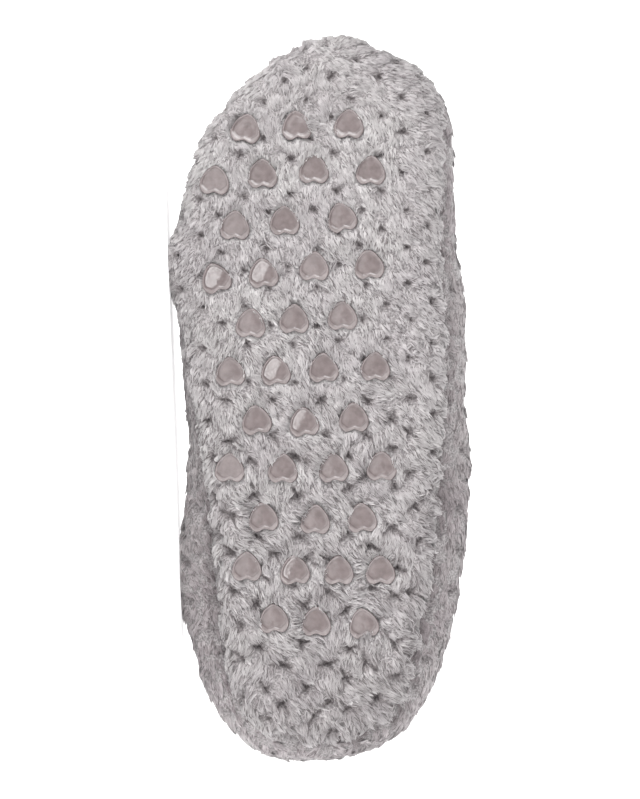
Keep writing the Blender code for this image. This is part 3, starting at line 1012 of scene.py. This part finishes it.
def pile_object(name, corners, tones, facing):
    """Locks as closed tetrahedra, each with its own cell of the map that a bake uses."""
    corners = pressed(corners, PILE_FLOOR_GAP - FLOOR_REACH)
    count = len(corners)
    base = (np.arange(count) * 4)[:, None, None]
    faces = (base + np.array([face for face, _, _ in LOCK_FACES])[None]).reshape(-1, 3)
    obj = new_mesh(name, corners.reshape(-1, 3), [faces])
    # painted shade of each face of a lock, the same for every lock
    sides = np.repeat([tone for _, tone, _ in LOCK_FACES], 3)
    order = np.concatenate([face for face, _, _ in LOCK_FACES])
    add_tone(obj, tones[:, order] * sides, "CORNER")
    cells = math.ceil(math.sqrt(count))
    cell = np.stack([np.arange(count) % cells, np.arange(count) // cells], axis=1)[:, None]
    place = np.concatenate([spots for _, _, spots in LOCK_FACES])
    layer = obj.data.uv_layers.new(name="OFBake")
    layer.data.foreach_set("uv", ((cell + place) / cells).astype(np.float32).ravel())
    obj.data.normals_split_custom_set_from_vertices(turned_to_row(facing).reshape(-1, 3))
    return obj


def finish_piece(obj, material, slot, *nodes):
    obj.data.materials.clear()
    obj.data.materials.append(material)
    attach(obj, BODY)
    if nodes:
        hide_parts(*nodes)


def finish_pile(pile, first, names, material):
    """Two pieces of pile: the locks of the first part, and all the others."""
    for name, part in zip(names, (first, ~first)):
        finish_piece(pile_object(name, *(field[part] for field in pile)), material, "plush")


# Materials


def new_material(name, sockets):
    material = bpy.data.materials.new(name)
    material.use_nodes = True
    tree = material.node_tree
    shader = tree.nodes["Principled BSDF"]
    for socket, value in sockets.items():
        shader.inputs[socket].default_value = value
    return material, tree, shader


def tone_node(tree):
    tone = tree.nodes.new("ShaderNodeAttribute")
    tone.attribute_name = "tone"
    return tone


def noise_node(tree, scale, detail=3.0):
    place = tree.nodes.new("ShaderNodeTexCoord")
    noise = tree.nodes.new("ShaderNodeTexNoise")
    noise.inputs["Scale"].default_value = scale
    noise.inputs["Detail"].default_value = detail
    tree.links.new(place.outputs["Object"], noise.inputs["Vector"])
    return noise


def coloured(tree, source, stops):
    """The colours of the stops by the value of a tone or noise node."""
    ramp = tree.nodes.new("ShaderNodeValToRGB")
    elements = ramp.color_ramp.elements
    while len(elements) < len(stops):
        elements.new(0.5)
    for element, (position, colour) in zip(elements, stops):
        element.position = position
        element.color = (*colour, 1.0)
    tree.links.new(source.outputs["Fac"], ramp.inputs["Fac"])
    return ramp.outputs["Color"]


def multiplied(tree, first, second):
    mix = tree.nodes.new("ShaderNodeMix")
    mix.data_type = "RGBA"
    mix.blend_type = "MULTIPLY"
    mix.inputs["Factor"].default_value = 1.0
    tree.links.new(first, mix.inputs["A"])
    tree.links.new(second, mix.inputs["B"])
    return mix.outputs["Result"]


def add_bump(tree, shader, noise, strength, distance):
    bump = tree.nodes.new("ShaderNodeBump")
    bump.inputs["Strength"].default_value = strength
    bump.inputs["Distance"].default_value = distance
    tree.links.new(noise.outputs["Fac"], bump.inputs["Height"])
    tree.links.new(bump.outputs["Normal"], shader.inputs["Normal"])


def pile_material(name, stops, patch, patch_scale):
    """Plush pile coloured by its tone: dark at the roots and pale at the tips, painted shade between the
    locks, with a faint pattern of patches.
    """
    sockets = {"Roughness": 0.85, "Specular IOR Level": 0.2, "Sheen Weight": 0.25, "Sheen Roughness": 0.5}
    material, tree, shader = new_material(name, sockets)
    tint = coloured(tree, noise_node(tree, patch_scale), [(0.35, patch), (0.65, WHITE)])
    colour = multiplied(tree, coloured(tree, tone_node(tree), stops), tint)
    tree.links.new(colour, shader.inputs["Base Color"])
    return material


def silicone_material():
    sockets = {"Roughness": 0.15, "Specular IOR Level": 0.5, "Coat Weight": 0.3, "Coat Roughness": 0.06}
    material, tree, shader = new_material("silicone", sockets)
    noise = noise_node(tree, 480.0, 5.0)
    mottle = coloured(tree, noise, [(0.32, (0.74, 0.73, 0.73)), (0.68, WHITE)])
    colour = multiplied(tree, coloured(tree, tone_node(tree), SILICONE_STOPS), mottle)
    tree.links.new(colour, shader.inputs["Base Color"])
    add_bump(tree, shader, noise, 0.22, 0.0004)
    return material


def lining_material():
    sockets = {"Roughness": 0.95, "Specular IOR Level": 0.2, "Sheen Weight": 0.3}
    material, tree, shader = new_material("lining", sockets)
    noise = noise_node(tree, 900.0, 4.0)
    colour = coloured(tree, noise, [(0.3, (0.36, 0.335, 0.335)), (0.7, (0.62, 0.59, 0.585))])
    tree.links.new(colour, shader.inputs["Base Color"])
    add_bump(tree, shader, noise, 0.8, 0.0012)
    return material


# Pieces


def build_sole(base_material, pile_looks):
    plush = sole_plush()
    loops, sections = plush.grid.shape[:2]
    points = plush.grid.reshape(-1, 3)
    rim = plush.grid[-1]
    middle = rim.mean(axis=0)
    top = [part_way(middle, rim, share) for share in TOP_SHARES]
    for loop in top:
        loop[:, 2] = lift(loop[:, 0]) + SOLE_THICK - TOP_SINK
    faces = closed_faces(loops + len(top), sections)
    obj = new_mesh("sole_plush", np.concatenate([points, *top]), faces)
    # painted light on the base beside the hearts, against the shade round them
    beside = on_hearts(points, BED_LIGHT_OUTLINE)
    tone = BASE_TONE * (1.0 + HEART_BED_LIGHT * beside.reshape(loops, sections))
    tone = tone * plush.shade(plush.grid, plush.flat)
    add_tone(obj, np.concatenate([tone.ravel(), np.full(len(top) * sections, HIDDEN_TONE)]))
    finish_piece(obj, base_material, "plush", "sole")
    grow_sole_pile(plush, pile_looks)


def grow_sole_pile(plush, material):
    """The sole's pile, which is cut back round the hearts and combed over the sides of a few."""
    rng = np.random.default_rng(SOLE_PILE_SEED)
    places = scatter(plush, SOLE_CLUMPS, rng)
    roots, _, flat = places
    along = roots[:, 0]
    height = roots[:, 2] - lift(along)
    at_heel = falling(along, *HEEL_ZONE)
    cast = graded(SOLE_TONE, rising(along, *PALE_ZONE))
    # painted shade on the sole's rolled edge by the seam, less at the toe, and along the seam at the heel
    cast -= graded(EDGE_DARK, rising(along, *TOE_ZONE)) * rising(height, *EDGE_BAND)
    cast -= EDGE_SEAM_DARK * at_heel * rising(height, *EDGE_SEAM_BAND)
    # painted light on the pile beside the hearts, against the shade round them
    cast *= 1.0 + HEART_SIDE_LIGHT * on_hearts(roots, PILE_LIGHT_OUTLINE)

    def blocked(spots):
        return on_hearts(spots, PILE_OUTLINE, HEART_OVERLAPS) | plush.in_dimple(spots)

    nap = sole_nap(roots, flat)
    nap[:, 2] += EDGE_RISE * rising(height, *EDGE_NAP_BAND)
    for number, shift in HEART_OVERLAPS.items():
        spot, axes = HEARTS[number - 1]
        inwards = unit(np.array(shift)) @ axes[:2]
        near = np.linalg.norm(roots - spot + inwards * OVERLAP_PLACE, axis=1) < OVERLAP_RADIUS
        nap[near] = OVERLAP_OLD_NAP * nap[near] + OVERLAP_NAP * inwards
    length = SOLE_PILE - graded(EDGE_CUT, at_heel) * rising(height, *EDGE_CUT_BAND)
    pile = grow_pile(plush, places, nap, cast, blocked, on_hearts, rng, length, SOLE_LOFT)
    finish_pile(pile, pile[0][:, 0, 0] > SPLIT_ALONG, ("sole_pile_front", "sole_pile_back"), material)


def upper_plush():
    """The upper's plush with its gathered hem, and the surface and the normals behind it."""
    surface = upper_outside(*sole_ring(ROUND))
    normals = grid_normals(surface)
    steps = np.linalg.norm(np.diff(surface, axis=0), axis=2)[::-1]
    from_edge = np.concatenate([np.zeros((1, ROUND)), np.cumsum(steps, axis=0)])[::-1]
    turn = np.arange(ROUND) / ROUND * 2.0 * math.pi
    pucker = np.sin(GATHERS * turn + 1.3 * np.sin(5 * turn)) * (0.7 + 0.3 * np.sin(7 * turn))
    gather = GATHER_HEIGHT * falling(from_edge, *GATHER_ZONE) * pucker
    stitch = STITCH_DEPTH * bell(from_edge - HEM_DEPTH, STITCH_WIDTH)
    surface = surface + normals * (gather - stitch)[..., None]
    swell = HEM_SWELL * smoothstep(np.arange(-HEM_ROWS, 1) / HEM_ROWS + 1.0)[:, None, None]
    surface[-HEM_ROWS - 1 :] += swell * normals[-HEM_ROWS - 1 :]
    dimples = loose_dimples(surface)
    along = surface[..., 0]
    inset = np.minimum(BASE_INSET, base_inset(along - TOE_SHIFT * (along > SHIFT_START)))
    surface = pressed(surface)
    return Plush(surface, surface.copy(), dimples, inset, False, **UPPER_DIMPLE), surface, normals


def lining_loops(surface, normals):
    """The inside of the upper's wall, from the hem down to the seam."""
    steps = np.linspace(len(surface) - 1, 0, LINING_STEPS).astype(int)
    inside = surface[steps] - normals[steps] * (WALL + LINING_SLACK)
    level = normals[0, :, :2]
    level = level / np.sum(level**2, axis=1)[:, None]
    inside[-1, :, :2] = surface[0, :, :2] - level * WALL
    inside[-1, :, 2] = surface[0, :, 2]
    return pressed(inside, WALL - FLOOR_REACH)


def build_upper(base_material, pile_looks, lining):
    """The upper with its rolled hem and its lining. The inside of its seam is given back."""
    plush, surface, normals = upper_plush()
    inside = lining_loops(surface, normals)
    edge = unit(plush.grid[-1] - plush.grid[-3])
    middle, half = (plush.grid[-1] + inside[0]) / 2, (plush.grid[-1] - inside[0]) / 2
    radius = np.linalg.norm(half, axis=1)[:, None]
    hem = []
    for turn in np.linspace(0.0, math.pi, HEM_STEPS + 2)[1:-1]:
        hem.append(middle + half * math.cos(turn) + edge * radius * math.sin(turn))
    loops = np.concatenate([plush.grid, np.stack(hem), inside])
    faces = grid_faces(len(loops), ROUND, closed=True)
    obj = new_mesh("upper_plush", loops.reshape(-1, 3), [faces])
    tone = np.full(loops.shape[:2], BASE_TONE)
    # painted shade of the dimples and creases on the upper's base
    tone[: len(plush.grid)] *= plush.shade(plush.grid, plush.flat)
    add_tone(obj, tone)
    finish_piece(obj, base_material, "plush", "upper")
    obj.data.materials.append(lining)
    slots = np.zeros(len(obj.data.polygons), np.int32)
    slots[(len(plush.grid) + HEM_STEPS - 2) * ROUND :] = 1
    obj.data.polygons.foreach_set("material_index", slots)
    grow_upper_pile(plush, surface[-1], pile_looks)
    return inside[-1, :, :2]


def grow_upper_pile(plush, rim, material):
    """The upper's pile, with painted shade towards the seam and in the groove of the hem's stitches."""
    rng = np.random.default_rng(UPPER_PILE_SEED)
    places = scatter(plush, UPPER_CLUMPS, rng)
    roots = places[0]
    height = roots[:, 2] - lift(roots[:, 0]) - SOLE_THICK
    # painted shade down the wall and at its foot by the seam
    foot = falling(height, *FOOT_BAND)
    cast = UPPER_TONE - WALL_DARK * falling(height, *WALL_BAND) - FOOT_DARK * foot
    # at the heel: lighter up the wall, and more painted shade at its foot
    at_wall = HEEL_WALL_LIGHT * rising(height, *HEEL_WALL_BAND)
    at_foot = HEEL_FOOT_DARK * falling(height, *HEEL_FOOT_BAND)
    cast += falling(roots[:, 0], *HEEL_ZONE) * (at_wall - at_foot)
    # painted shade in the groove of the hem's stitches
    from_rim = np.linalg.norm(roots - rim[nearest(roots, rim)], axis=1)
    cast = cast * (1.0 - STITCH_DARK * bell(from_rim - HEM_DEPTH, STITCH_SHADE_WIDTH))
    nap = upper_nap(roots)
    nap[:, 2] -= WALL_FALL * foot

    def no_heart(spots):
        return np.zeros(len(spots), bool)

    blocked = plush.in_dimple
    pile = grow_pile(plush, places, nap, cast, blocked, no_heart, rng, UPPER_PILE, UPPER_LOFT)
    finish_pile(pile, pile[0][:, 0, 1] < SPLIT_ACROSS, ("upper_pile_outer", "upper_pile_inner"), material)


def build_insole(seam, material):
    """A padded sheet inside the seam, with a rounded edge and a slightly dished top."""
    _, outward, _ = sole_ring(ROUND)
    bottom = SOLE_THICK + GAP
    rise = bottom + INSOLE_THICK
    edge = (
        # inset, height
        (12.0, bottom),
        (5.0, bottom),
        (0.8, bottom),
        (0.4, bottom + 0.9),
        (0.5, rise - 1.0),
        (1.0, rise - 0.35),
        (2.0, rise),
    )
    loops = []
    for inset, height in edge:
        spot = seam - outward * inset
        loops.append(at_height(spot, lift(spot[:, 0]) + height))
    rim = seam - outward * INSOLE_RIM
    spine = np.stack([np.clip(rim[:, 0], *INSOLE_SPINE), np.zeros(len(rim))], axis=1)
    for share in np.linspace(0.0, INSOLE_REACH, INSOLE_STEPS):
        spot = part_way(rim, spine, share)
        dish = INSOLE_DISH * smoothstep(share)
        loops.append(at_height(spot, lift(spot[:, 0]) + rise - dish))
    loops = np.stack(loops)
    ripple = waves(loops, INSOLE_RIPPLES)
    loops[len(edge) :, :, 2] += ripple[len(edge) :]
    obj = new_mesh("insole_pad", loops.reshape(-1, 3), closed_faces(len(loops), ROUND))
    finish_piece(obj, material, "lining", "insole")


def gleaming_slope(spot, axes):
    """Slopes across and along with which a heart's face mirrors the front light to the camera."""
    place = to_row(spot)
    camera = to_row(np.array([LENGTH / 2, 0.0, 0.0])) - (0.0, CAMERA_DISTANCE, 0.0)
    half = unit(FRONT_LIGHT - place) + unit(camera - place)
    across, along, out = turned_to_row(axes) @ half
    return -np.array((across, along)) / out


def build_hearts(material):
    """Every grip heart with its raised lip and nearly flat face, joined in one mesh."""
    rng = np.random.default_rng(HEART_SEED)
    outline = heart_outline(HEART_STEPS)
    count = len(outline)
    heelward = falling(outline[:, 1], *HEELWARD_ZONE)
    # the lip's tone: painted shade at its foot, and a painted highlight towards the heel
    lip_tone, lip = [], []
    for inset, height, tone, pale, wide in LIP:
        lip_tone.append(tone + LIP_PALING * pale * heelward)
        lip.append(at_height(outline * (1.0 - (inset + wide * heelward) / HEART_REACH)[:, None], height))
    lip_tone = np.concatenate(lip_tone)
    core = lip[-1][:, :2]
    dome = [at_height(core * share, HEART_FACE + HEART_DOME * (1.0 - share**2)) for share in FACE_SHARES]
    loops = lip + dome
    shape = np.concatenate([*loops, [(0.0, HEART_MIDDLE, HEART_FACE + HEART_DOME)]])
    ring = np.arange(count)
    points, faces, tones, names = [], [], [], []
    for number, (spot, axes) in enumerate(HEARTS, 1):
        start = (number - 1) * len(shape)
        slope = np.tan(np.radians(rng.normal(0.0, HEART_TILT, 2)))
        fold = shape[:, :2] @ slope
        if number in GLEAMING_HEARTS:
            slope = gleaming_slope(spot, axes)
            steep = np.linalg.norm(slope)
            climb = shape[:, :2] @ slope + GLEAMING_HEARTS[number] * steep
            fold = (climb + np.hypot(climb, FOLD_ROUNDING * steep)) / 2 - FOLD_SINK
        local = shape.copy()
        local[:, 2] += fold + (BASE_INSET - base_inset(spot[0]) - HEART_SINK)
        points.append(local @ axes + spot)
        tones += [lip_tone, np.full(len(dome) * count + 1, FACE_TONE)]
        last = start + (len(loops) - 1) * count
        fan = np.stack([last + (ring + 1) % count, last + ring, np.full(count, last + count)], axis=1)
        faces += [grid_faces(len(loops), count)[:, ::-1] + start, fan, start + ring[None, :]]
        names.append(f"grip_heart_{number:02d}")
    obj = new_mesh("grip_hearts", np.concatenate(points), faces)
    add_tone(obj, np.concatenate(tones))
    finish_piece(obj, material, "silicone", *names)


# Studio


def add_floor():
    """A pale sweep: floor, a wide curve and a backdrop behind the slipper."""
    radius, back, wide, high, near = 0.6, 2.6, 6.0, 3.0, 8.0
    profile = [(-near, 0.0), (back, 0.0)]
    for turn in np.radians(np.linspace(0.0, 90.0, 17)[1:]):
        profile.append((back + radius * math.sin(turn), radius * (1.0 - math.cos(turn))))
    profile.append((back + radius, high))
    points = [(x, y, z) for y, z in profile for x in (-wide, wide)]
    faces = [(2 * i, 2 * i + 1, 2 * i + 3, 2 * i + 2) for i in range(len(profile) - 1)]
    mesh = bpy.data.meshes.new("floor")
    mesh.from_pydata(points, [], faces)
    mesh.shade_smooth()
    floor = add_object("floor", mesh)
    sockets = {"Roughness": 0.9, "Specular IOR Level": 0.2}
    material, tree, shader = new_material("pale_floor", sockets)
    colour = coloured(tree, noise_node(tree, 30.0), [(0.0, (0.86, 0.86, 0.86)), (1.0, (0.9, 0.9, 0.9))])
    tree.links.new(colour, shader.inputs["Base Color"])
    mesh.materials.append(material)
    return floor


def add_light(name, spot, target, size, energy):
    light = bpy.data.lights.new(name, "AREA")
    light.shape = "DISK"
    light.size = size
    light.energy = energy
    obj = add_object(name, light)
    obj.location = spot
    obj.rotation_euler = (Vector(target) - Vector(spot)).to_track_quat("-Z", "Y").to_euler()
    return obj


def add_studio():
    """The floor, the lights and a white world; two lights reach only the floor, and one all but it."""
    floor = add_floor()
    on_stage = bpy.data.collections.new("stage_receivers")
    on_stage.objects.link(floor)
    off_stage = bpy.data.collections.new("off_stage")
    off_stage.objects.link(floor)
    off_stage.collection_objects[0].light_linking.link_state = "EXCLUDE"
    lights = {row[0]: add_light(*row) for row in LIGHTS}
    lights["rear"].light_linking.receiver_collection = off_stage
    for name in ("floor_light", "backdrop_light"):
        lights[name].light_linking.receiver_collection = on_stage
        lights[name].light_linking.blocker_collection = on_stage
    world = bpy.data.worlds.new("studio")
    world.use_nodes = True
    background = world.node_tree.nodes["Background"]
    background.inputs["Color"].default_value = (*WHITE, 1.0)
    background.inputs["Strength"].default_value = WORLD_STRENGTH
    bpy.context.scene.world = world
    bpy.context.scene.view_settings.view_transform = "Standard"


def add_camera():
    """Square to the tread, rolled so that the toe is at the top of the picture."""
    frame_height, pixels_high, pixels_per_mm = 36.0, 799.0, 2.86
    distance, lean = CAMERA_DISTANCE, math.radians(1.89)
    camera = bpy.data.cameras.new("camera")
    camera.sensor_fit = "VERTICAL"
    camera.sensor_height = frame_height
    camera.sensor_width = frame_height
    camera.lens = frame_height * distance / (pixels_high / pixels_per_mm * MM)
    right = Vector((math.sin(lean), 0.0, math.cos(lean)))
    up = Vector((-math.cos(lean), 0.0, math.sin(lean)))
    back = Vector((0.0, -1.0, 0.0))
    obj = add_object("camera", camera)
    centre = Vector(to_row(np.array([LENGTH / 2, 0.0, 0.0])))
    turn = Matrix((right, up, back)).transposed().to_4x4()
    obj.matrix_world = Matrix.Translation(centre + back * distance) @ turn
    bpy.context.scene.camera = obj


ORIGIN = row_origin()
HEARTS = heart_frames()
HEART_OUTLINE = heart_outline(OUTLINE_STEPS)
plush_pile = pile_material("plush_pile", PILE_STOPS, (0.93, 0.915, 0.93), 55.0)
# the upper's pile, with a mauve tint of painted shade
shade_tinted_wall_pile = pile_material("shade_tinted_wall_pile", SHADE_TINTED_WALL_STOPS, (0.95, 0.93, 0.945), 55.0)
# the base: dark and finely mottled, painted shade of the deep pile
plush_base = pile_material("plush_base", PILE_STOPS, (0.4, 0.39, 0.4), 1400.0)
lining_fleece = lining_material()

build_sole(plush_base, plush_pile)
inner_seam = build_upper(plush_base, shade_tinted_wall_pile, lining_fleece)
build_insole(inner_seam, lining_fleece)
build_hearts(silicone_material())
add_studio()
add_camera()

bpy.context.view_layer.update()
